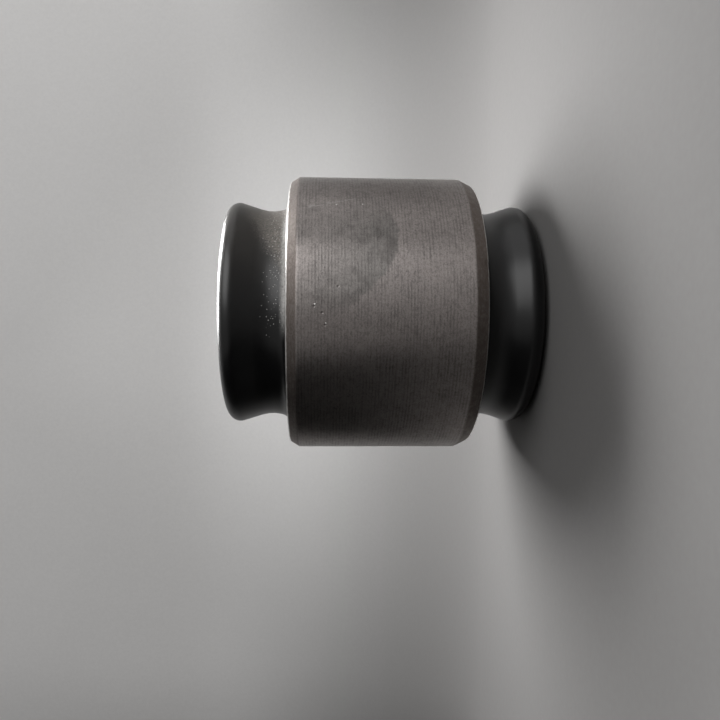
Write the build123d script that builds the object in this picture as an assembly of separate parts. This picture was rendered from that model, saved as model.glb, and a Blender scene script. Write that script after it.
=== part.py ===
from build123d import *
import os

# Rubber metal bush: two steel sleeves with a rubber body bonded between them.
# All sizes are in millimetres. The bush stands on its end, with its bore along Z.

# Outer sleeve, a turned tube that is pressed into the eye of an arm
outer_sleeve_diameter = 60.0
outer_sleeve_length = 38.6
outer_sleeve_wall = 4.0
lead_chamfer_depth = 1.25
top_lead_chamfer_length = 2.0
bottom_lead_chamfer_length = 2.6

# Inner sleeve, a thick tube that the bolt clamps between its two brackets
bolt_diameter = 14.0
bolt_clearance = 0.2
inner_sleeve_diameter = 27.0
inner_sleeve_stand_off = 0.8
inner_sleeve_outer_chamfer = 0.8
inner_sleeve_bore_chamfer = 0.7

# Rubber body, one moulding with a waisted neck and a flared lip at each end. Foot, neck, lip and
# crown stand inward from the outer sleeve's bore by a share of the rubber's thickness. Neck and
# lip are given by their sharp corners and then rounded, the lip by a share of its rim at most.
top_overhang = 13.6
bottom_overhang = 12.7
foot_share = 0.22
foot_height = 0.35
neck_share = 0.3
neck_height = 4.25
neck_rounding = 8.0
lip_share = 0.084
lip_drop = 0.8
lip_rounding = 2.4
lip_rounding_limit = 0.85
crown_share = 0.312
face_dish = 0.8

# Radii that follow from the sizes above. The rubber is bonded to both sleeves, so it shares
# their radii with no clearance.
outer_sleeve_radius = outer_sleeve_diameter / 2
outer_bond_radius = outer_sleeve_radius - outer_sleeve_wall
inner_bond_radius = inner_sleeve_diameter / 2
bore_radius = (bolt_diameter + bolt_clearance) / 2
rubber_thickness = outer_bond_radius - inner_bond_radius
foot_radius = outer_bond_radius - foot_share * rubber_thickness
neck_radius = outer_bond_radius - neck_share * rubber_thickness
lip_radius = outer_bond_radius - lip_share * rubber_thickness
crown_radius = outer_bond_radius - crown_share * rubber_thickness
rim_rounding = min(lip_rounding, lip_rounding_limit * (lip_radius - crown_radius))

# Heights that follow from the sizes above. The origin is the middle of the bore.
inner_sleeve_length = outer_sleeve_length + top_overhang + bottom_overhang + 2 * inner_sleeve_stand_off
inner_sleeve_top = inner_sleeve_length / 2
inner_sleeve_bottom = -inner_sleeve_length / 2
top_face = inner_sleeve_top - inner_sleeve_stand_off
bottom_face = inner_sleeve_bottom + inner_sleeve_stand_off
outer_sleeve_top = top_face - top_overhang
outer_sleeve_bottom = bottom_face + bottom_overhang


def turned(outline):
    """Revolve a closed outline, drawn as radius and height, about the bore's axis."""
    profile = Plane.XZ * make_face(outline)
    return revolve(profile, Axis.Z)


def outer_sleeve():
    """The outer tube: square in its bore, with a long lead chamfer outside each end."""
    end_radius = outer_sleeve_radius - lead_chamfer_depth
    outline = Polyline(
        (outer_bond_radius, outer_sleeve_bottom),
        (end_radius, outer_sleeve_bottom),
        (outer_sleeve_radius, outer_sleeve_bottom + bottom_lead_chamfer_length),
        (outer_sleeve_radius, outer_sleeve_top - top_lead_chamfer_length),
        (end_radius, outer_sleeve_top),
        (outer_bond_radius, outer_sleeve_top),
        close=True,
    )
    return turned(outline)


def inner_sleeve():
    """The inner tube: its square ends stand a little out of the rubber, to be clamped."""
    outline = Polyline(
        (bore_radius, inner_sleeve_bottom + inner_sleeve_bore_chamfer),
        (bore_radius + inner_sleeve_bore_chamfer, inner_sleeve_bottom),
        (inner_bond_radius - inner_sleeve_outer_chamfer, inner_sleeve_bottom),
        (inner_bond_radius, inner_sleeve_bottom + inner_sleeve_outer_chamfer),
        (inner_bond_radius, inner_sleeve_top - inner_sleeve_outer_chamfer),
        (inner_bond_radius - inner_sleeve_outer_chamfer, inner_sleeve_top),
        (bore_radius + inner_sleeve_bore_chamfer, inner_sleeve_top),
        (bore_radius, inner_sleeve_top - inner_sleeve_bore_chamfer),
        close=True,
    )
    return turned(outline)


def rubber_end(sleeve_end, face, outward):
    """The corners of one free end of the rubber, and the radius that rounds each of them.

    outward is 1 at the top and -1 at the bottom. The rubber leaves the outer sleeve at its
    bore's edge, turns up at the foot of the neck, flares to the lip and rises to a crown.
    From the crown the end face falls in a shallow dish to the inner sleeve.
    """
    corners = [
        (outer_bond_radius, sleeve_end),
        (foot_radius, sleeve_end + outward * foot_height),
        (neck_radius, sleeve_end + outward * neck_height),
        (lip_radius, face - outward * lip_drop),
        (crown_radius, face),
        (inner_bond_radius, face - outward * face_dish),
    ]
    roundings = [0, 0, neck_rounding, rim_rounding, 0, 0]
    return corners, roundings


def rubber_body():
    """The one rubber moulding: two free ends joined by the two bonded cylinders."""
    top_corners, top_roundings = rubber_end(outer_sleeve_top, top_face, 1)
    bottom_corners, bottom_roundings = rubber_end(outer_sleeve_bottom, bottom_face, -1)
    outline = FilletPolyline(
        *top_corners,
        *reversed(bottom_corners),
        radius=[*top_roundings, *reversed(bottom_roundings)],
        close=True,
    )
    return turned(outline)


os.makedirs("parts", exist_ok=True)
export_step(outer_sleeve(), "parts/outer_sleeve.step")
export_step(inner_sleeve(), "parts/inner_sleeve.step")
export_step(rubber_body(), "parts/rubber_body.step")
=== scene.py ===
import math
from types import SimpleNamespace

import bpy
import numpy as np
from bpy.props import FloatProperty, FloatVectorProperty, IntProperty, PointerProperty
from mathutils import Matrix, Vector


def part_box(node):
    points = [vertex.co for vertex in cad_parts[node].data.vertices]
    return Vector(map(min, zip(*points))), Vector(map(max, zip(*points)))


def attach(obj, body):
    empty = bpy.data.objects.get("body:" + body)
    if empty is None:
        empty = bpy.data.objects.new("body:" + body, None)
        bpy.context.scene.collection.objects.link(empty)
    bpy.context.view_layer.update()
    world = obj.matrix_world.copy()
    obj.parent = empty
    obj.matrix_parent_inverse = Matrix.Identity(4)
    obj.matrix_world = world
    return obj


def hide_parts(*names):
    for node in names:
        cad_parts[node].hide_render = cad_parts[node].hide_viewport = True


bl_info = {
    "name": "Rubber metal bush",
    "version": (1, 0, 0),
    "blender": (4, 5, 0),
    "location": "3D View > Sidebar > Bush",
    "description": "Builds the looks of a bonded rubber and metal bush around its packed model",
    "category": "Object",
}

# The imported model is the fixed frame. It stands on its end, with its bore along Z, in metres.
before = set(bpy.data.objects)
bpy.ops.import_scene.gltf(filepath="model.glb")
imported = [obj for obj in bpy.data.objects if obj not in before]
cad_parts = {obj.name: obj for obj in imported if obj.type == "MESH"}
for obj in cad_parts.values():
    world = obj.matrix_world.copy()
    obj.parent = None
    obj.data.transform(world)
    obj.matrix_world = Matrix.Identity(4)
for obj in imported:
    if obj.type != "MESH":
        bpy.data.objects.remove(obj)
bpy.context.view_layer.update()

MM = 0.001


def radius_and_heights(node):
    """The outer radius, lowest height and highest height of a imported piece, in millimetres.
    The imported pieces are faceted, so the radius is rounded to a hundredth."""
    low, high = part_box(node)
    return round(high.x / MM, 2), round(low.z / MM, 3), round(high.z / MM, 3)


OUTER_RADIUS, OUTER_BOTTOM, OUTER_TOP = radius_and_heights("outer_sleeve")
BOND_RADIUS, RUBBER_BOTTOM, RUBBER_TOP = radius_and_heights("rubber_body")
INNER_RADIUS, INNER_BOTTOM, INNER_TOP = radius_and_heights("inner_sleeve")

# How finely a rounding is cut, and the longest pieces that an outline's straight sides are
# cut into, in millimetres: on small forms, on flat faces and long sides, and out of sight
ARC_STEP = math.radians(7)
FEWEST_ARC_POINTS = 4
FINE = 0.4
MEDIUM = 0.6
COARSE = 6.0

# Dents along the outer sleeve's end edges: how many, and their widths, depths and reach along
# the sleeve in millimetres
NICK_SEED = 11
TOP_NICKS = 46
BOTTOM_NICKS = 18
NICK_WIDTHS = (0.25, 0.8)
NICK_DEPTHS = (0.02, 0.12)
NICK_REACH = 0.5

# Lamps by name: place and size in metres, spread of the light in degrees, and radiance
LAMPS = {
    "window": ((0.32, -0.38, 0.33), (0.50, 0.50), 180, 2.6),
    "strip": ((0.05, 0.095, 0.18), (0.14, 0.065), 90, 14.0),
    "side": ((0.45, -0.02, 0.12), (0.30, 0.35), 180, 0.6),
}

# The dome's strength as a light, and as it is seen at its horizon and from DOME_RISE upward,
# which is the sine of an elevation
DOME_COLOUR = "#D8D7D6"
DOME_LIGHT = 0.18
DOME_HORIZON = 0.35
DOME_HIGH = 0.5
DOME_RISE = 0.35

# The camera on the bush's -Y side: place, nearest visible point, sensor and lens in
# millimetres, and how it is turned away from looking straight along Y, in degrees
CAMERA_DISTANCE = 159.87
CAMERA_HEIGHT = 11.32
NEAREST = 5.0
SENSOR_WIDTH = 36.0
LENS = 35.0
AIM_RIGHT = -2.863
AIM_DOWN = -3.772
ROLL = 0.463


# Settings, shown in the panel


def linear(hex_colour):
    """A hex colour in sRGB as the linear colour that shaders take, by the standard curve."""
    value = int(hex_colour.lstrip("#"), 16)
    channels = [(value >> shift & 255) / 255 for shift in (16, 8, 0)]
    bright = [c / 12.92 if c <= 0.04045 else ((c + 0.055) / 1.055) ** 2.4 for c in channels]
    return (*bright, 1.0)


def length(name, description, millimetres):
    """A length in a property group, given in millimetres."""
    return FloatProperty(
        name=name,
        description=description,
        default=millimetres * MM,
        min=0.0,
        precision=5,
        unit="LENGTH",
    )


def colour(name, description, hex_colour):
    """A colour in a property group, given as sRGB hex."""
    return FloatVectorProperty(
        name=name,
        description=description,
        default=linear(hex_colour),
        size=4,
        min=0.0,
        max=1.0,
        subtype="COLOR",
    )


class BushSizes(bpy.types.PropertyGroup):
    """Sizes that finish the three turned pieces."""

    chamfer_depth: length("Chamfer depth", "How far the lead chamfers cut into the sleeve", 1.25)
    top_chamfer: length("Top chamfer", "Length of the lead chamfer at the top", 2.0)
    bottom_chamfer: length("Bottom chamfer", "Length of the lead chamfer at the bottom", 2.6)
    worn_edge: length("Worn edge", "Rounding of the sleeve's outer end edges", 0.35)
    soft_edge: length("Soft edge", "Rounding between chamfer and cylinder", 0.6)
    foot_inset: length("Foot inset", "The foot's corner, inward from the outer sleeve", 2.75)
    foot_height: length("Foot height", "The foot's corner, away from the sleeve's end", 0.35)
    foot_rounding: length("Foot rounding", "Radius that rounds the foot of the neck", 2.2)
    neck_inset: length("Neck inset", "The neck's corner, inward from the outer sleeve", 3.75)
    neck_height: length("Neck height", "The neck's corner, away from the sleeve's end", 4.25)
    neck_rounding: length("Neck rounding", "Radius that rounds the neck", 8.0)
    lip_inset: length("Lip inset", "The lip's corner, inward from the outer sleeve", 1.05)
    lip_drop: length("Lip drop", "The lip's corner, back from the rubber's face", 0.8)
    lip_rounding: length("Lip rounding", "Radius that rounds the lip", 2.4)
    crown_inset: length("Crown inset", "The crown, inward from the outer sleeve", 3.9)
    crown_rounding: length("Crown rounding", "Radius that rounds the end face's crown", 2.0)
    face_dish: length("Face dish", "How far the end face falls from its crown", 0.8)
    bead: length("Bead", "Rubber that creeps up the inner sleeve", 0.5)
    bore: length("Bore", "Radius of the bolt's bore", 7.1)
    bore_chamfer: length("Bore chamfer", "Chamfer at the mouth of the bolt's bore", 0.7)
    rim_chamfer: length("Rim chamfer", "Chamfer outside the inner sleeve's ends", 0.8)


class BushColours(bpy.types.PropertyGroup):
    """Colours of the finishes."""

    steel: colour("Steel", "Turned mild steel with a film of oil", "#AEA6A3")
    stain: colour("Stain", "Oil and phosphate darkened steel", "#84827F")
    pit: colour("Pit", "Dark smudges and pits in the steel, and the card's tooth", "#4A4645")
    # Bare steel also paints the highlight in the foot of the top neck
    bare: colour("Bare steel", "Freshly cut or rubbed steel, crumbs and heaped dust", "#DEDCD9")
    rust: colour("Rust tint", "Thin brown film on the lead chamfers", "#6B625C")
    rubber: colour("Rubber", "Carbon black rubber", "#0B0B0C")
    bloom: colour("Bloom", "Grey wax bloom on rubber", "#121213")
    # The dust colour also paints a sheen on the top neck's +X flank
    dust: colour("Dust", "Grey blasting dust on the top neck", "#88827B")
    wall: colour("Wall", "Pale matte card behind the bush", "#F2F1F0")
    # The floor's grey is a painted shade about the bush, which the card loses up the wall and far away
    floor: colour("Floor", "The same card where it is greyer, under the bush", "#6C6B6A")
    felt: colour("Felt", "Black felt of the studio's flag", "#0A0A0A")


class BushStage(bpy.types.PropertyGroup):
    """The studio around the bush."""

    wall: length("Wall", "Distance of the wall behind the bush", 140.0)
    cove: length("Cove", "Radius between floor and wall", 110.0)
    reach: length("Reach", "How far floor and wall reach to each side", 1500.0)
    flag_across: length("Flag across", "The flag's distance on the bush's -X side", 118.0)
    flag_ahead: length("Flag ahead", "The flag's distance in front of the bush", 95.0)
    flag_hem: length("Flag hem", "Gap between the floor and the flag's hem", 12.0)
    flag_drop: length("Flag drop", "Height of the flag where it is tallest", 225.0)


class BushDetail(bpy.types.PropertyGroup):
    """How finely the pieces are cut."""

    turns: IntProperty(name="Turns", description="Steps around the axis", default=600, min=24)


def in_millimetres(group):
    """The lengths of a property group by name, in millimetres. Properties hold single
    precision, so a length is rounded to what its default was written with."""
    decimals = 4
    lengths = {name: round(getattr(group, name) / MM, decimals) for name in group.__annotations__}
    return SimpleNamespace(**lengths)


# Shapes


def rounded_outline(corners):
    """Points along a closed outline of corners (radius, height, rounding, step).

    A corner with a rounding becomes an arc that touches both of its straight sides. Its
    centre lies on the line that halves the corner's angle, rounding / sin(half angle) away
    from the corner, and it touches each side rounding / tan(half angle) away. The straight
    side after a corner is cut into pieces no longer than the corner's step.
    """
    no_length = 1e-9
    corners = np.array(corners, float)
    place, rounding, step = corners[:, :2], corners[:, 2], corners[:, 3]
    before = np.roll(place, 1, axis=0) - place
    after = np.roll(place, -1, axis=0) - place
    before /= np.linalg.norm(before, axis=1)[:, None]
    after /= np.linalg.norm(after, axis=1)[:, None]
    half_angle = np.arccos(np.clip((before * after).sum(1), -1, 1)) / 2
    setback = rounding / np.tan(half_angle)
    starts = place + before * setback[:, None]
    ends = place + after * setback[:, None]
    middle = before + after
    middle /= np.maximum(np.linalg.norm(middle, axis=1), no_length)[:, None]
    centres = place + middle * (rounding / np.sin(half_angle))[:, None]
    side_length = np.linalg.norm(np.roll(place, -1, axis=0) - place, axis=1)
    if np.any(setback + np.roll(setback, -1) > side_length):
        raise ValueError("Two roundings are too large for the straight side between them")
    points = []
    for i in range(len(corners)):
        if rounding[i] > 0:
            first, last = starts[i] - centres[i], ends[i] - centres[i]
            turn = math.atan2(first[0] * last[1] - first[1] * last[0], first @ last)
            count = max(int(abs(turn) / ARC_STEP), FEWEST_ARC_POINTS)
            angle = np.linspace(0, turn, count)[:, None]
            side = np.array([-first[1], first[0]])
            points.append(centres[i] + first * np.cos(angle) + side * np.sin(angle))
        else:
            points.append(place[i : i + 1])
        goal = starts[(i + 1) % len(corners)]
        gap = np.linalg.norm(goal - ends[i])
        count = int(gap / step[i])
        if count > 0:
            share = np.arange(1, count + 1)[:, None] / (count + 1)
            points.append(ends[i] + (goal - ends[i]) * share)
    return np.concatenate(points)


def turned_surface(name, outline, turns, dents=None):
    """A closed surface of revolution.

    Vertex (i, j) is outline point i turned by angle a = j / turns of a circle:
    x = radius cos a, y = radius sin a, z = height. The outline runs anticlockwise with the
    radius to the right, so faces look outward. dents(radius, angle, height) gives the depth,
    in millimetres, that each vertex is pushed toward the axis.
    """
    angle = np.arange(turns) * (2 * np.pi / turns)
    radius = np.repeat(outline[:, :1], turns, axis=1)
    height = np.repeat(outline[:, 1:], turns, axis=1)
    angle = np.repeat(angle[None], len(outline), axis=0)
    if dents is not None:
        radius = radius - dents(radius, angle, height)
    vertices = np.stack([radius * np.cos(angle), radius * np.sin(angle), height], axis=-1)
    index = np.arange(vertices.shape[0] * turns).reshape(vertices.shape[:2])
    above = np.roll(index, -1, axis=0)
    beside = np.roll(index, -1, axis=1)
    corner = np.roll(above, -1, axis=1)
    quads = np.stack([index, beside, corner, above], axis=-1).reshape(-1, 4)
    return mesh_object(name, vertices.reshape(-1, 3) * MM, quads)


def mesh_object(name, vertices, quads):
    """Make a smooth shaded mesh object at the origin from whole arrays."""
    mesh = bpy.data.meshes.new(name)
    mesh.vertices.add(len(vertices))
    mesh.vertices.foreach_set("co", vertices.astype(np.float32).ravel())
    mesh.loops.add(quads.size)
    mesh.loops.foreach_set("vertex_index", quads.astype(np.int32).ravel())
    mesh.polygons.add(len(quads))
    mesh.polygons.foreach_set("loop_start", np.arange(0, quads.size, 4, dtype=np.int32))
    mesh.polygons.foreach_set("use_smooth", np.ones(len(quads), bool))
    mesh.update(calc_edges=True)
    if mesh.validate():
        raise RuntimeError(f"The mesh of {name} isn't valid")
    piece = bpy.data.objects.new(name, mesh)
    bpy.context.scene.collection.objects.link(piece)
    return piece


def edge_nicks(radius, angle, height):
    """Small dents scattered along both end edges of the outer sleeve, clear of its bore.

    Each is a bell in angle and height, and its depth is
    deepest exp(-(angle off / width)^2) exp(-(height off / NICK_REACH)^2).
    """
    bore_margin = 0.5
    random = np.random.default_rng(NICK_SEED)
    depth = np.zeros_like(radius)
    for edge, count in ((OUTER_TOP, TOP_NICKS), (OUTER_BOTTOM, BOTTOM_NICKS)):
        places = random.uniform(0, 2 * np.pi, count)
        widths = random.uniform(*NICK_WIDTHS, count) / OUTER_RADIUS
        depths = random.uniform(*NICK_DEPTHS, count)
        near = np.exp(-(((height - edge) / NICK_REACH) ** 2))
        for place, width, deepest in zip(places, widths, depths):
            around = (angle - place + np.pi) % (2 * np.pi) - np.pi
            depth += deepest * near * np.exp(-((around / width) ** 2))
    return depth * (radius > BOND_RADIUS + bore_margin)


# Finishes


# A pattern is worked out in millimetres on its piece, where across is X, deep is Y and up is Z.
# The viewer looks from -Y. Other numbers are shares between 0 and 1.


def add(tree, kind, inputs, **settings):
    """Add a node with its settings. An input is a constant or another node's socket."""
    node = tree.nodes.new(kind)
    for name, value in settings.items():
        setattr(node, name, value)
    for socket, value in inputs.items():
        if isinstance(value, bpy.types.NodeSocket):
            tree.links.new(value, node.inputs[socket])
        else:
            node.inputs[socket].default_value = value
    return node


def weighted(tree, start, *terms):
    """A start value plus each term's value times its weight."""
    total = start
    for value, weight in terms:
        inputs = {0: value, 1: weight, 2: total}
        total = add(tree, "ShaderNodeMath", inputs, operation="MULTIPLY_ADD").outputs[0]
    return total


def product(tree, *factors):
    """All factors multiplied."""
    result = factors[0]
    for factor in factors[1:]:
        result = add(tree, "ShaderNodeMath", {0: result, 1: factor}, operation="MULTIPLY").outputs[0]
    return result


def where(tree, *ranges):
    """A mask that is 1 where every range is met. In a range (value, low, high) it rises
    smoothly from 0 to 1 as the value runs from low to high, and two more numbers in the range
    stand in for that 0 and 1."""
    steps = []
    for value, low, high, *ends in ranges:
        start, end = ends or (0.0, 1.0)
        inputs = {"Value": value, "From Min": low, "From Max": high, "To Min": start, "To Max": end}
        steps.append(add(tree, "ShaderNodeMapRange", inputs, interpolation_type="SMOOTHSTEP").outputs[0])
    return product(tree, *steps)


def coated(tree, skin, *coats):
    """A colour with coats laid over it in order, each one its share and its paint."""
    for share, paint in coats:
        inputs = {0: share, 6: skin, 7: paint}
        skin = add(tree, "ShaderNodeMix", inputs, data_type="RGBA").outputs[2]
    return skin


def noise(tree, place, size, detail=3.0, rough=0.55, stretch=(1, 1, 1)):
    """Noise whose features are about size millimetres, longer along an axis by its stretch."""
    scale = tuple(1 / (size * longer) for longer in stretch)
    scaled = add(tree, "ShaderNodeMapping", {"Vector": place, "Scale": scale}).outputs[0]
    inputs = {"Vector": scaled, "Scale": 1.0, "Detail": detail, "Roughness": rough}
    return add(tree, "ShaderNodeTexNoise", inputs).outputs[0]


def frayed(tree, value, mottle, wander):
    """A value moved by as much as half of wander either way, so that a line along it frays."""
    return weighted(tree, -wander / 2, (value, 1.0), (mottle, wander))


def apart(tree, value, middle):
    """How far a value is from its middle."""
    inputs = {0: weighted(tree, -middle, (value, 1.0))}
    return add(tree, "ShaderNodeMath", inputs, operation="ABSOLUTE").outputs[0]


def ridges(tree, along, pitch):
    """Turning marks: even ridges across a coordinate. A wave of scale 1 repeats every pi / 10."""
    vector = add(tree, "ShaderNodeCombineXYZ", {"Z": along}).outputs[0]
    inputs = {"Vector": vector, "Scale": math.pi / 10 / pitch, "Distortion": 0.0}
    return add(tree, "ShaderNodeTexWave", inputs, bands_direction="Z").outputs["Fac"]


def spots(tree, place, points, radius):
    """1 about the middle of each point, fading to 0 at its radius."""
    total = 0.0
    for point in points:
        inputs = {0: place, 1: point}
        gap = add(tree, "ShaderNodeVectorMath", inputs, operation="DISTANCE").outputs["Value"]
        total = weighted(tree, total, (where(tree, (gap, radius, 0.3 * radius)), 1.0))
    return total


def new_material(name):
    """A new material, with its node tree, its principled shader and the place of a point on
    the piece in millimetres."""
    material = bpy.data.materials.new(name)
    material.use_nodes = True
    tree = material.node_tree
    metres = add(tree, "ShaderNodeTexCoord", {}).outputs["Object"]
    place = add(tree, "ShaderNodeMapping", {"Vector": metres, "Scale": (1 / MM,) * 3}).outputs[0]
    return material, tree, tree.nodes["Principled BSDF"], place


def finish(tree, shader, skin, rough, height, strength, depth):
    """Link colour, roughness and a bump of a depth in millimetres to the shader."""
    inputs = {"Strength": strength, "Distance": depth * MM, "Height": height}
    bump = add(tree, "ShaderNodeBump", inputs)
    tree.links.new(skin, shader.inputs["Base Color"])
    tree.links.new(rough, shader.inputs["Roughness"])
    tree.links.new(bump.outputs[0], shader.inputs["Normal"])


def turning_marks(tree, place, up, cloud, grain):
    """Rings at the tool's feed, cut deeper in some zones and broken by grain. Gives their
    relief and their grooves."""
    feed = 0.62
    streaks = noise(tree, place, 0.28, 2.0, 0.65, (30, 30, 1))
    broken = noise(tree, place, 0.5, 3.0, 0.6, (8, 8, 1))
    kept = where(tree, (cloud, 0.3, 0.65, 0.35, 0.9), (broken, 0.3, 0.6))
    relief = weighted(tree, product(tree, ridges(tree, up, feed), kept), (streaks, 0.9))
    grooves = where(tree, (weighted(tree, relief, (grain, 0.7)), 0.75, 1.75))
    return relief, grooves


def oil_stain(tree, across, deep, up, mottle):
    """A stain on the viewer's side that ends below along a ragged arc,
    up = arc_foot + arc_bend (across - arc_middle)^2. It is darkest just above the arc."""
    arc_middle = 14.5
    arc_bend = 0.055
    arc_foot = -1.9
    fringe = 1.0
    dark = -1.0
    thin = 16.0
    aside = weighted(tree, -arc_middle, (across, 1.0))
    over = weighted(tree, up, (product(tree, aside, aside), -arc_bend))
    over = frayed(tree, over, mottle, 3.0)
    return where(
        tree,
        (over, arc_foot - fringe, arc_foot),
        (over, thin, dark, 0.3, 1.0),
        (deep, -2.0, -14.0),
        (across, -2.0, 6.0),
        (across, 22.5, 16.0, 0.15, 1.0),
    )


def scratch(tree, across, deep, up, mottle, grain):
    """A thin broken scratch above the stain, along across = foot - slope up, whose ends fade
    out at half_length from its middle."""
    foot = 24.0
    slope = 0.229
    middle = 10.3
    half_length = 5.5
    half_width = 0.25
    line = frayed(tree, weighted(tree, across, (up, slope)), mottle, 1.2)
    return where(
        tree,
        (apart(tree, line, foot), half_width, 0.2 * half_width),
        (apart(tree, up, middle), half_length, half_length - 1.5),
        (deep, 0.0, -1.0),
        (grain, 0.35, 0.6),
    )


def rubbed_edges(tree, up, mottle):
    """Both end faces of the outer sleeve, and a ragged line about 0.2 mm wide beside them."""
    top = where(tree, (frayed(tree, up, mottle, 0.35), OUTER_TOP - 0.325, OUTER_TOP - 0.155))
    bottom = where(tree, (frayed(tree, up, mottle, -0.3), OUTER_BOTTOM + 0.27, OUTER_BOTTOM + 0.13))
    return weighted(tree, top, (bottom, 1.0))


def turned_steel(colours, sizes):
    """Lathe turned mild steel: fine broken rings at the tool's feed, dulled by oil and handling
    so that it glows in broad soft bands along the axis and never mirrors. An oil stain darkens
    it on the viewer's side, and its end edges are rubbed bright."""
    blur = 0.2
    film_blur = 0.3
    pit_radius = 0.32
    burr_radius = 0.26
    material, tree, shader, place = new_material("turned_steel")
    across, deep, up = add(tree, "ShaderNodeSeparateXYZ", {0: place}).outputs
    cloud = noise(tree, place, 6.0, 4.0, 0.6)
    smear = noise(tree, place, 3.2, 3.0, 0.6)
    mottle = noise(tree, place, 1.3, 4.0, 0.65)
    fleck = noise(tree, place, 0.34, 3.0, 0.7, (1.5, 1.5, 1))
    grain = noise(tree, place, 0.22, 2.0, 0.6)
    relief, grooves = turning_marks(tree, place, up, cloud, grain)
    stain = oil_stain(tree, across, deep, up, mottle)
    skin = coated(
        tree,
        colours.steel,
        (weighted(tree, -0.1, (cloud, 0.5), (stain, 0.6)), colours.stain),
        (where(tree, (mottle, 0.4, 0.85, 0.0, 0.35)), colours.pit),
        (product(tree, grooves, 0.36), colours.pit),
        (where(tree, (fleck, 0.45, 0.75, 0.0, 0.45)), colours.pit),
        (where(tree, (grain, 0.45, 0.8, 0.0, 0.35)), colours.pit),
        (product(tree, stain, where(tree, (smear, 0.45, 0.7)), 0.4), colours.pit),
    )

    # The lead chamfers are cut coarser and duller than the cylinder between them, and a thin
    # brown film starts raggedly above the bottom one
    top_edge = OUTER_TOP - sizes.top_chamfer
    bottom_edge = OUTER_BOTTOM + sizes.bottom_chamfer
    top_cut = where(tree, (up, top_edge - blur, top_edge + blur))
    bottom_cut = where(tree, (up, bottom_edge + blur, bottom_edge - blur))
    chamfers = weighted(tree, top_cut, (bottom_cut, 1.0))
    film_edge = (frayed(tree, up, mottle, 2.4), bottom_edge + film_blur, bottom_edge - film_blur)
    skin = coated(
        tree,
        skin,
        (product(tree, chamfers, where(tree, (fleck, 0.35, 0.65, 0.6, 0.9))), colours.rust),
        (product(tree, top_cut, 0.2), colours.pit),
        (where(tree, film_edge, (mottle, 0.35, 0.65, 0.1, 0.8)), colours.rust),
    )

    # Handling left a few pits with bright burrs above the middle
    pits = ((1.4, -30.0, 13.4), (-2.1, -29.9, 11.4), (5.1, -29.6, 9.0), (0.2, -30.0, 11.9))
    burrs = ((1.7, -30.0, 13.2), (-1.8, -29.9, 11.2), (21.3, -21.1, 9.2), (21.5, -20.9, 4.0))
    pit = spots(tree, place, pits, pit_radius)
    burr = spots(tree, place, burrs, burr_radius)
    bare = weighted(tree, rubbed_edges(tree, up, mottle), (burr, 1.0))
    bare = add(tree, "ShaderNodeMath", {0: bare, 1: 1.0}, operation="MINIMUM").outputs[0]
    skin = coated(
        tree,
        skin,
        (product(tree, scratch(tree, across, deep, up, mottle, grain), 0.25), colours.bare),
        (product(tree, pit, 0.5), colours.pit),
        (bare, colours.bare),
    )

    height = weighted(tree, relief, (grain, 0.8), (pit, -4.0), (burr, 3.0))
    rough = weighted(tree, 0.31, (mottle, 0.14), (stain, 0.06), (chamfers, 0.16), (bare, -0.16))
    finish(tree, shader, skin, rough, height, strength=0.8, depth=0.012)
    radial = add(tree, "ShaderNodeTangent", {}, direction_type="RADIAL", axis="Z")
    tree.links.new(radial.outputs[0], shader.inputs["Tangent"])
    shader.inputs["Metallic"].default_value = 1.0
    shader.inputs["Anisotropic"].default_value = 0.5
    shader.inputs["Anisotropic Rotation"].default_value = 0.25
    return material


def bored_steel(colours):
    """Faced and bored steel of the inner sleeve: rings that follow the radius on its ends and
    the height in its bore, brighter than the outer sleeve because a bolt head rubs it."""
    material, tree, shader, place = new_material("bored_steel")
    across, deep, up = add(tree, "ShaderNodeSeparateXYZ", {0: place}).outputs
    flat = add(tree, "ShaderNodeCombineXYZ", {"X": across, "Y": deep}).outputs[0]
    radius = add(tree, "ShaderNodeVectorMath", {0: flat}, operation="LENGTH").outputs["Value"]
    feed = 0.3
    rings = ridges(tree, weighted(tree, up, (radius, 1.0)), feed)
    grain = noise(tree, place, 0.3, 3.0, 0.6)
    blotch = noise(tree, place, 3.0, 4.0, 0.6)
    skin = coated(
        tree,
        colours.bare,
        (where(tree, (blotch, 0.35, 0.65)), colours.steel),
        (where(tree, (grain, 0.5, 0.8, 0.0, 0.4)), colours.pit),
    )
    height = weighted(tree, rings, (grain, 0.5))
    rough = weighted(tree, 0.26, (blotch, 0.18))
    finish(tree, shader, skin, rough, height, strength=0.7, depth=0.006)
    shader.inputs["Metallic"].default_value = 1.0
    return material


def dust_film(tree, across, up, patch, grain, speck, reached):
    """Grey dust that settled on the top neck, thickest beside the sleeve. From a ragged line
    that slants across the flank, up = line_foot + line_slope across, it fades out upward."""
    line_foot = 11.5
    line_slope = 0.69
    fringe = 5.0
    reach = 11.0
    edge = frayed(tree, weighted(tree, up, (across, -line_slope)), patch, 4.0)
    film = where(tree, (edge, line_foot + fringe, line_foot), (up, OUTER_TOP + reach, OUTER_TOP, 0.3, 1.0))
    film = product(tree, film, reached)
    cover = weighted(tree, grain, (patch, 0.25), (film, 0.5))
    return where(tree, (cover, 0.65, 1.2), (film, 0.0, 0.2), (speck, 0.25, 0.7, 0.25, 0.85))


def grit_crumbs(tree, place, strewn):
    """Bright crumbs, at most one in each cell of a fine irregular grid. A cell holds one where
    its luck is below three quarters of strewn, and each crumb has its own brightness."""
    cells_per_millimetre = 2.8
    inputs = {"Vector": place, "Scale": cells_per_millimetre}
    cell = add(tree, "ShaderNodeTexVoronoi", inputs).outputs
    luck, shine = add(tree, "ShaderNodeSeparateXYZ", {0: cell["Color"]}).outputs[:2]
    spare = weighted(tree, 0.0, (strewn, 0.75), (luck, -1.0))
    crumbs = where(tree, (cell["Distance"], 0.34, 0.1), (spare, 0.0, 0.02))
    return product(tree, crumbs, weighted(tree, 0.4, (shine, 0.6)))


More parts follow.
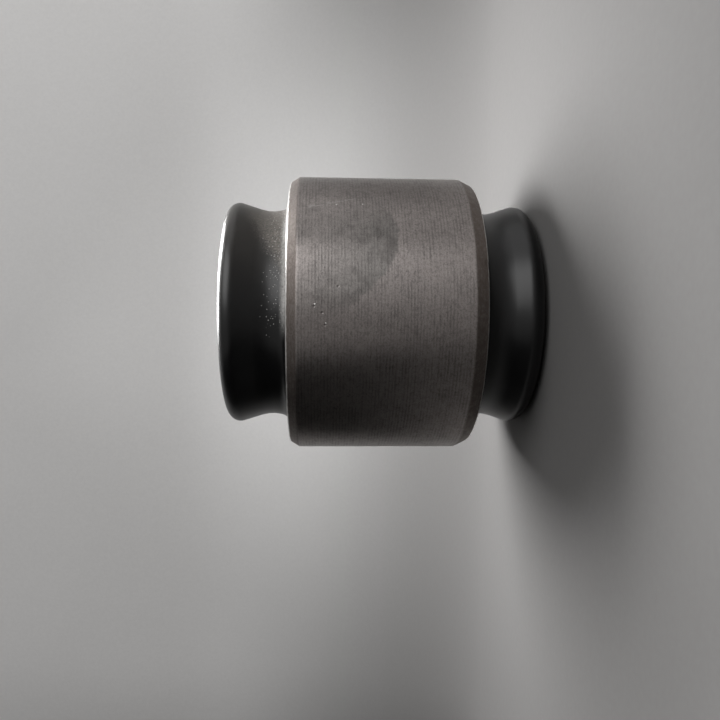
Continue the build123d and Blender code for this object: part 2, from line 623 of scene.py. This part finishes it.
def moulded_rubber(colours):
    """Moulded carbon black rubber: near black and smooth enough to catch a lamp in a clear
    line, with a faint wax bloom. Grey dust and crumbs lie on the top neck beside the sleeve.
    A pale patch in the neck's foot is a painted highlight, and a pale film on its +X flank is
    a painted sheen."""
    material, tree, shader, place = new_material("moulded_rubber")
    across, deep, up = add(tree, "ShaderNodeSeparateXYZ", {0: place}).outputs
    bloom = noise(tree, place, 9.0, 4.0, 0.6)
    patch = noise(tree, place, 1.6, 3.0, 0.6)
    speck = noise(tree, place, 0.42, 3.0, 0.6)
    grain = noise(tree, place, 0.22, 4.0, 0.65)

    # Dust reached only the top neck, on the viewer's side. Crumbs are strewn thickest beside
    # the sleeve. A pale patch in the foot of the neck is a painted highlight where a lamp's glare
    # falls, and a pale film that grows toward +X on the flank is a painted sheen
    reached = where(tree, (up, OUTER_TOP, OUTER_TOP + 0.1), (deep, 14.0, 2.0))
    dusted = dust_film(tree, across, up, patch, grain, speck, reached)
    strewn = where(tree, (up, OUTER_TOP + 6.5, OUTER_TOP + 0.5), (across, -9.0, 10.0))
    strewn = product(tree, strewn, reached)
    crumbs = grit_crumbs(tree, place, strewn)
    # Painted highlight: a pale patch in the foot of the top neck, where a lamp's glare falls
    painted_glare = where(
        tree,
        (up, OUTER_TOP + 1.7, OUTER_TOP + 0.3),
        (across, -6.0, 3.0),
        (across, 21.0, 15.0),
        (speck, 0.3, 0.55, 0.4, 0.95),
    )
    # Painted sheen: a pale film that grows toward +X on the top neck's flank, standing in for its
    # reflection of the lit side
    painted_sheen = where(tree, (across, 0.0, 20.0, 0.0, 0.12))
    skin = coated(
        tree,
        colours.rubber,
        (where(tree, (bloom, 0.4, 0.75)), colours.bloom),
        (dusted, colours.dust),
        (crumbs, colours.bare),
        (product(tree, painted_glare, reached), colours.bare),
        (product(tree, painted_sheen, reached), colours.dust),
    )

    height = product(tree, grain, where(tree, (strewn, 0.0, 0.4, 0.4, 1.2)))
    height = weighted(tree, height, (crumbs, 4.0))
    rough = weighted(tree, 0.26, (bloom, 0.14), (dusted, 0.45))
    finish(tree, shader, skin, rough, height, strength=0.5, depth=0.02)
    shader.inputs["IOR"].default_value = 1.5
    return material


def matte_card(colours):
    """Graded matte card with a faint tooth, that takes soft shadows and gives no glare. Its colour
    is greyest under and around the bush, a painted shade, and pale from 60 mm up the wall and
    from 700 mm away."""
    material, tree, shader, place = new_material("matte_card")
    up = add(tree, "ShaderNodeSeparateXYZ", {0: place}).outputs[2]
    away = add(tree, "ShaderNodeVectorMath", {0: place}, operation="LENGTH").outputs["Value"]
    tooth = noise(tree, place, 1.2, 3.0, 0.6)
    cloud = noise(tree, place, 90.0, 2.0, 0.5)
    # Painted shade: the card is grey about the bush and turns pale up the wall and far away
    risen = where(tree, (up, INNER_BOTTOM, 60.0))
    far = where(tree, (away, 200.0, 700.0))
    pale = add(tree, "ShaderNodeMath", {0: risen, 1: far}, operation="MAXIMUM").outputs[0]
    skin = coated(
        tree,
        colours.floor,
        (pale, colours.wall),
        (weighted(tree, 0.0, (tooth, 0.1), (cloud, 0.1)), colours.pit),
    )
    finish(tree, shader, skin, weighted(tree, 0.85, (tooth, 0.1)), tooth, strength=0.3, depth=0.05)
    return material


def black_felt(colours):
    """Black felt, whose nap swallows light with hardly any sheen."""
    material, tree, shader, place = new_material("black_felt")
    nap = noise(tree, place, 2.0, 3.0, 0.6)
    worn = (*(2.0 * channel for channel in colours.felt[:3]), 1.0)
    skin = coated(tree, colours.felt, (nap, worn))
    finish(tree, shader, skin, weighted(tree, 0.93, (nap, 0.05)), nap, strength=0.5, depth=0.2)
    shader.inputs["Specular IOR Level"].default_value = 0.1
    return material


# Operators


def finish_piece(piece, material, node):
    """Give a piece its finish and tell the frame what it stands for."""
    piece.data.materials.append(material)
    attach(piece, "root")
    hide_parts(node)


class BUSH_OT_outer_sleeve(bpy.types.Operator):
    """Turn the outer steel sleeve with its lead chamfers and worn edges"""

    bl_idname = "bush.outer_sleeve"
    bl_label = "Outer sleeve"

    def execute(self, context):
        sizes = in_millimetres(context.scene.bush_sizes)
        turns = context.scene.bush_detail.turns
        end_radius = OUTER_RADIUS - sizes.chamfer_depth
        bore_edge = 0.25
        outline = rounded_outline(
            [
                (BOND_RADIUS, OUTER_BOTTOM, bore_edge, MEDIUM),
                (end_radius, OUTER_BOTTOM, sizes.worn_edge, FINE),
                (OUTER_RADIUS, OUTER_BOTTOM + sizes.bottom_chamfer, sizes.soft_edge, MEDIUM),
                (OUTER_RADIUS, OUTER_TOP - sizes.top_chamfer, sizes.soft_edge, FINE),
                (end_radius, OUTER_TOP, sizes.worn_edge, FINE),
                (BOND_RADIUS, OUTER_TOP, bore_edge, COARSE),
            ]
        )
        piece = turned_surface("outer_sleeve_skin", outline, turns, edge_nicks)
        steel = turned_steel(context.scene.bush_colours, sizes)
        finish_piece(piece, steel, "outer_sleeve")
        return {"FINISHED"}


class BUSH_OT_rubber_body(bpy.types.Operator):
    """Mould the rubber body with its necks, lips and dished end faces"""

    bl_idname = "bush.rubber_body"
    bl_label = "Rubber body"

    def execute(self, context):
        sizes = in_millimetres(context.scene.bush_sizes)
        turns = context.scene.bush_detail.turns
        low = self.free_end(sizes, OUTER_BOTTOM, RUBBER_BOTTOM, -1)
        high = self.free_end(sizes, OUTER_TOP, RUBBER_TOP, 1)
        outline = rounded_outline([*reversed(low), *high])
        piece = turned_surface("rubber_body_skin", outline, turns)
        finish_piece(piece, moulded_rubber(context.scene.bush_colours), "rubber_body")
        return {"FINISHED"}

    def free_end(self, sizes, sleeve_end, face, outward):
        """Corners from the outer sleeve's bore over neck, lip and crown to the inner sleeve.

        The bonded sides, which the sleeves hide, are cut coarsely: from the bottom end up the
        outer sleeve, and from the top end down the inner one.
        """
        bead_rounding = 0.6
        after_outer, after_inner = (FINE, COARSE) if outward > 0 else (COARSE, FINE)
        foot = sleeve_end + outward * sizes.foot_height
        neck = sleeve_end + outward * sizes.neck_height
        lip = face - outward * sizes.lip_drop
        dish = face - outward * sizes.face_dish
        return [
            (BOND_RADIUS, sleeve_end, 0.0, after_outer),
            (BOND_RADIUS - sizes.foot_inset, foot, sizes.foot_rounding, FINE),
            (BOND_RADIUS - sizes.neck_inset, neck, sizes.neck_rounding, FINE),
            (BOND_RADIUS - sizes.lip_inset, lip, sizes.lip_rounding, FINE),
            (BOND_RADIUS - sizes.crown_inset, face, sizes.crown_rounding, FINE),
            (INNER_RADIUS + sizes.bead, dish, bead_rounding, FINE),
            (INNER_RADIUS, dish + outward * sizes.bead, 0.0, after_inner),
        ]


class BUSH_OT_inner_sleeve(bpy.types.Operator):
    """Turn the inner steel sleeve with its faced ends and the bolt's bore"""

    bl_idname = "bush.inner_sleeve"
    bl_label = "Inner sleeve"

    def execute(self, context):
        sizes = in_millimetres(context.scene.bush_sizes)
        turns = context.scene.bush_detail.turns // 2
        mouth = sizes.bore + sizes.bore_chamfer
        rim = INNER_RADIUS - sizes.rim_chamfer
        low_rim = INNER_BOTTOM + sizes.rim_chamfer
        high_rim = INNER_TOP - sizes.rim_chamfer
        low_mouth = INNER_BOTTOM + sizes.bore_chamfer
        high_mouth = INNER_TOP - sizes.bore_chamfer
        mouth_edge = 0.12
        edge = 0.15
        bonded_side = 4.0
        bore_side = 2.0
        outline = rounded_outline(
            [
                (mouth, INNER_BOTTOM, mouth_edge, MEDIUM),
                (rim, INNER_BOTTOM, edge, FINE),
                (INNER_RADIUS, low_rim, edge, bonded_side),
                (INNER_RADIUS, high_rim, edge, FINE),
                (rim, INNER_TOP, edge, MEDIUM),
                (mouth, INNER_TOP, mouth_edge, FINE),
                (sizes.bore, high_mouth, edge, bore_side),
                (sizes.bore, low_mouth, edge, FINE),
            ]
        )
        piece = turned_surface("inner_sleeve_skin", outline, turns)
        finish_piece(piece, bored_steel(context.scene.bush_colours), "inner_sleeve")
        return {"FINISHED"}


class BUSH_OT_stage(bpy.types.Operator):
    """Set the pale cove, the black flag, the soft lamps, the dome and the camera"""

    bl_idname = "bush.stage"
    bl_label = "Stage"

    def execute(self, context):
        stage = in_millimetres(context.scene.bush_stage)
        colours = context.scene.bush_colours
        cove = self.cove(stage)
        cove.data.materials.append(matte_card(colours))
        flag = self.flag(stage)
        flag.data.materials.append(black_felt(colours))
        lamps = [self.lamp(name, *values) for name, values in LAMPS.items()]
        self.dome(context.scene)
        self.camera(context.scene)
        context.scene.view_settings.view_transform = "Standard"
        return {"FINISHED"}

    def cove(self, stage):
        """A floor that curves up into a wall: floor, quarter circle, wall, swept along X."""
        floor = INNER_BOTTOM
        bend_points = 48
        bend = np.linspace(0, np.pi / 2, bend_points)
        start = stage.wall - stage.cove
        depth = np.concatenate([[-stage.reach], start + stage.cove * np.sin(bend), [stage.wall]])
        rise = np.concatenate([[floor], floor + stage.cove * (1 - np.cos(bend)), [stage.reach]])
        width = np.array([-stage.reach, stage.reach])
        x = np.repeat(width[None], len(depth), axis=0)
        y = np.repeat(depth[:, None], 2, axis=1)
        z = np.repeat(rise[:, None], 2, axis=1)
        vertices = np.stack([x, y, z], axis=-1).reshape(-1, 3)
        row = np.arange(len(depth) - 1)[:, None] * 2
        quads = row + np.array([[0, 1, 3, 2]])
        return mesh_object("cove", vertices * MM, quads)

    def flag(self, stage):
        """A black cloth hung in an arc about the bush, from its front round its -X side:
        x = -flag_across sin a, y = -flag_ahead cos a. Its hem ends above the floor, and its
        top rises from the front by flag_drop s^2 (3 - 2 s), where s is the share of the rise's
        arc, so that its edge reflects softly. The camera doesn't see it."""
        start, end, rise = np.radians((5, 110, 65))
        columns = 43
        turn = np.linspace(start, end, columns)
        x = np.repeat(-stage.flag_across * np.sin(turn)[:, None], 2, axis=1)
        y = np.repeat(-stage.flag_ahead * np.cos(turn)[:, None], 2, axis=1)
        share = np.clip((turn - start) / rise, 0, 1)
        hem = INNER_BOTTOM + stage.flag_hem
        top = hem + stage.flag_drop * share**2 * (3 - 2 * share)
        z = np.stack([np.full_like(top, hem), top], axis=1)
        row = np.arange(len(turn) - 1)[:, None] * 2
        vertices = np.stack([x, y, z], axis=-1).reshape(-1, 3)
        cloth = mesh_object("flag", vertices * MM, row + np.array([[0, 2, 3, 1]]))
        cloth.visible_camera = False
        return cloth

    def lamp(self, name, place, size, spread, radiance):
        """A rectangular softbox that looks at the bush, its first side level along X, hidden
        from the camera. A grid keeps its light within the spread, in degrees. Its power is
        pi times area times radiance."""
        data = bpy.data.lights.new(name, "AREA")
        data.shape = "RECTANGLE"
        data.size, data.size_y = size
        data.spread = math.radians(spread)
        data.energy = math.pi * size[0] * size[1] * radiance
        away = Vector(place).normalized()
        across = (Vector((1, 0, 0)) - away * away.x).normalized()
        turn = Matrix((across, away.cross(across), away)).transposed().to_4x4()
        lamp = bpy.data.objects.new(name, data)
        lamp.matrix_world = Matrix.Translation(place) @ turn
        lamp.visible_camera = False
        bpy.context.scene.collection.objects.link(lamp)
        return lamp

    def dome(self, scene):
        """A dome that is dim and even as a light. Where the camera, a reflection or clear
        material sees it, it grows paler from the horizon up."""
        world = bpy.data.worlds.new("dome")
        world.use_nodes = True
        tree = world.node_tree
        ray = add(tree, "ShaderNodeLightPath", {})
        rays = ("Is Camera Ray", "Is Glossy Ray", "Is Transmission Ray")
        seen = weighted(tree, 0.0, *((ray.outputs[name], 1.0) for name in rays))
        direction = add(tree, "ShaderNodeTexCoord", {}).outputs["Generated"]
        height = add(tree, "ShaderNodeSeparateXYZ", {0: direction}).outputs[2]
        graded = where(tree, (height, 0.0, DOME_RISE, DOME_HORIZON, DOME_HIGH))
        strength = where(tree, (seen, 0.0, 1.0, DOME_LIGHT, graded))
        background = tree.nodes["Background"]
        background.inputs["Color"].default_value = linear(DOME_COLOUR)
        tree.links.new(strength, background.inputs["Strength"])
        scene.world = world

    def camera(self, scene):
        """The photograph's view: the bush lies across the picture, its top to the left. An
        upright camera looks along Y with its own up along X, and is then turned a little."""
        data = bpy.data.cameras.new("camera")
        data.sensor_width = SENSOR_WIDTH
        data.lens = LENS
        data.clip_start = NEAREST * MM
        camera = bpy.data.objects.new("camera", data)
        upright = Matrix(((0, 1, 0), (0, 0, -1), (-1, 0, 0))).to_4x4()
        aim_right = Matrix.Rotation(math.radians(AIM_RIGHT), 4, "Y")
        aim_down = Matrix.Rotation(math.radians(AIM_DOWN), 4, "X")
        roll = Matrix.Rotation(math.radians(ROLL), 4, "Z")
        place = Matrix.Translation((0, -CAMERA_DISTANCE * MM, CAMERA_HEIGHT * MM))
        camera.matrix_world = place @ upright @ aim_right @ aim_down @ roll
        scene.collection.objects.link(camera)
        scene.camera = camera


class BUSH_PT_panel(bpy.types.Panel):
    """Lists what builds the bush and its settings"""

    bl_label = "Rubber metal bush"
    bl_idname = "BUSH_PT_panel"
    bl_space_type = "VIEW_3D"
    bl_region_type = "UI"
    bl_category = "Bush"

    def draw(self, context):
        for operator in OPERATORS:
            self.layout.operator(operator.bl_idname)
        scene = context.scene
        for group in (scene.bush_sizes, scene.bush_colours, scene.bush_stage, scene.bush_detail):
            box = self.layout.box()
            for name in group.__annotations__:
                box.prop(group, name)


GROUPS = (BushSizes, BushColours, BushStage, BushDetail)
OPERATORS = (BUSH_OT_outer_sleeve, BUSH_OT_rubber_body, BUSH_OT_inner_sleeve, BUSH_OT_stage)


def register():
    for cls in (*GROUPS, *OPERATORS, BUSH_PT_panel):
        bpy.utils.register_class(cls)
    bpy.types.Scene.bush_sizes = PointerProperty(type=BushSizes)
    bpy.types.Scene.bush_colours = PointerProperty(type=BushColours)
    bpy.types.Scene.bush_stage = PointerProperty(type=BushStage)
    bpy.types.Scene.bush_detail = PointerProperty(type=BushDetail)


def unregister():
    del bpy.types.Scene.bush_detail
    del bpy.types.Scene.bush_stage
    del bpy.types.Scene.bush_colours
    del bpy.types.Scene.bush_sizes
    for cls in reversed((*GROUPS, *OPERATORS, BUSH_PT_panel)):
        bpy.utils.unregister_class(cls)


def main():
    """Register, then build every piece and the stage in order."""
    register()
    bpy.ops.bush.outer_sleeve()
    bpy.ops.bush.rubber_body()
    bpy.ops.bush.inner_sleeve()
    bpy.ops.bush.stage()


if __name__ == "__main__":
    main()
